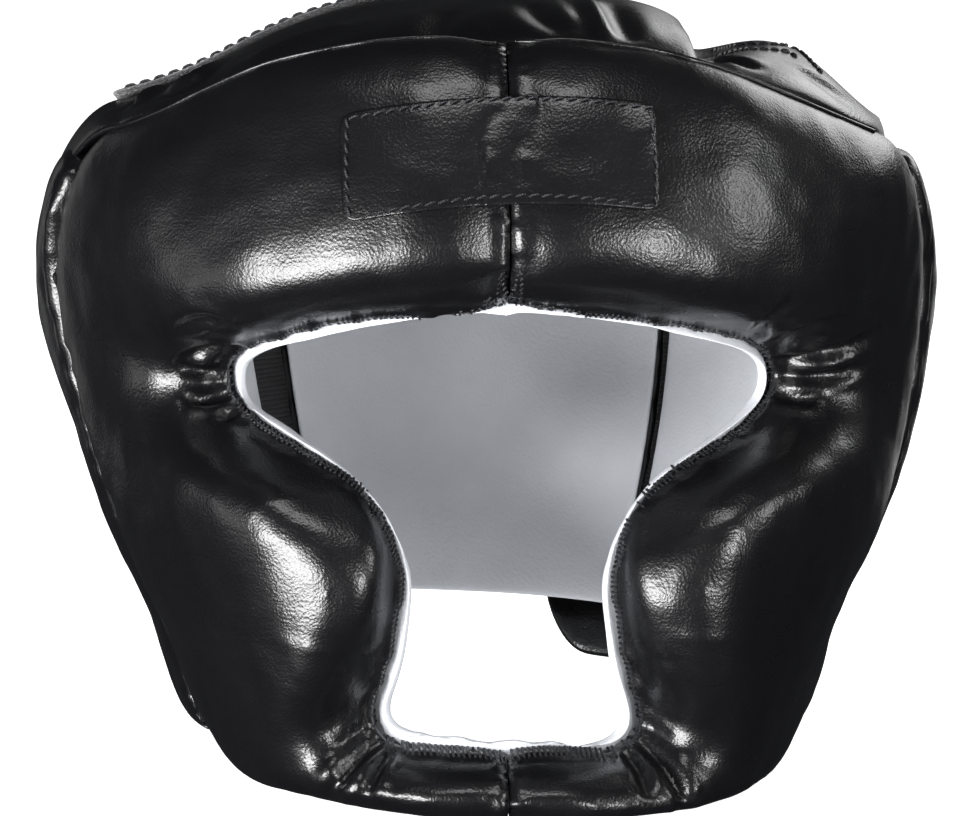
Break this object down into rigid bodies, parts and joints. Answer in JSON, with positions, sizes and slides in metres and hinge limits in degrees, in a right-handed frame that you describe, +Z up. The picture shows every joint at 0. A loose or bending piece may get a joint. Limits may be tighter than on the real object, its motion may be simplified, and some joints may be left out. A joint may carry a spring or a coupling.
{
  "type": "full-face padded head guard",
  "caption": "Padded head guard in synthetic leather, open at the face, ears and neck, with a lined hollow for the head, overlapping crown flaps and a closing strap at the back.",
  "frame": {"origin": "middle of the object's footprint, on the surface it stands on", "axes": "+Z up, -Y the way the face looks, +X to the right of the picture, which is the wearer's left"},
  "size_m": [0.2424, 0.2444, 0.2011],
  "materials": {
    "synthetic_leather_black": "satin pebbled",
    "leatherette_off_white": "satin",
    "elastic_black": "matt",
    "loop_strip_black": "matt"
  },
  "bodies": {
    "root": {"front_pad_left": "synthetic_leather_black", "front_pad_right": "synthetic_leather_black", "side_pad_left": "synthetic_leather_black", "side_pad_right": "synthetic_leather_black", "back_pad": "synthetic_leather_black", "crown_flap_left": "synthetic_leather_black", "crown_flap_right": "synthetic_leather_black", "forehead_patch": "synthetic_leather_black", "nape_strap": "synthetic_leather_black", "face_lining": "leatherette_off_white", "side_lining_left": "leatherette_off_white", "side_lining_right": "leatherette_off_white", "back_lining": "leatherette_off_white", "gusset_left": "elastic_black", "gusset_right": "elastic_black", "crown_strip": "loop_strip_black"}
  },
  "joints": []
}
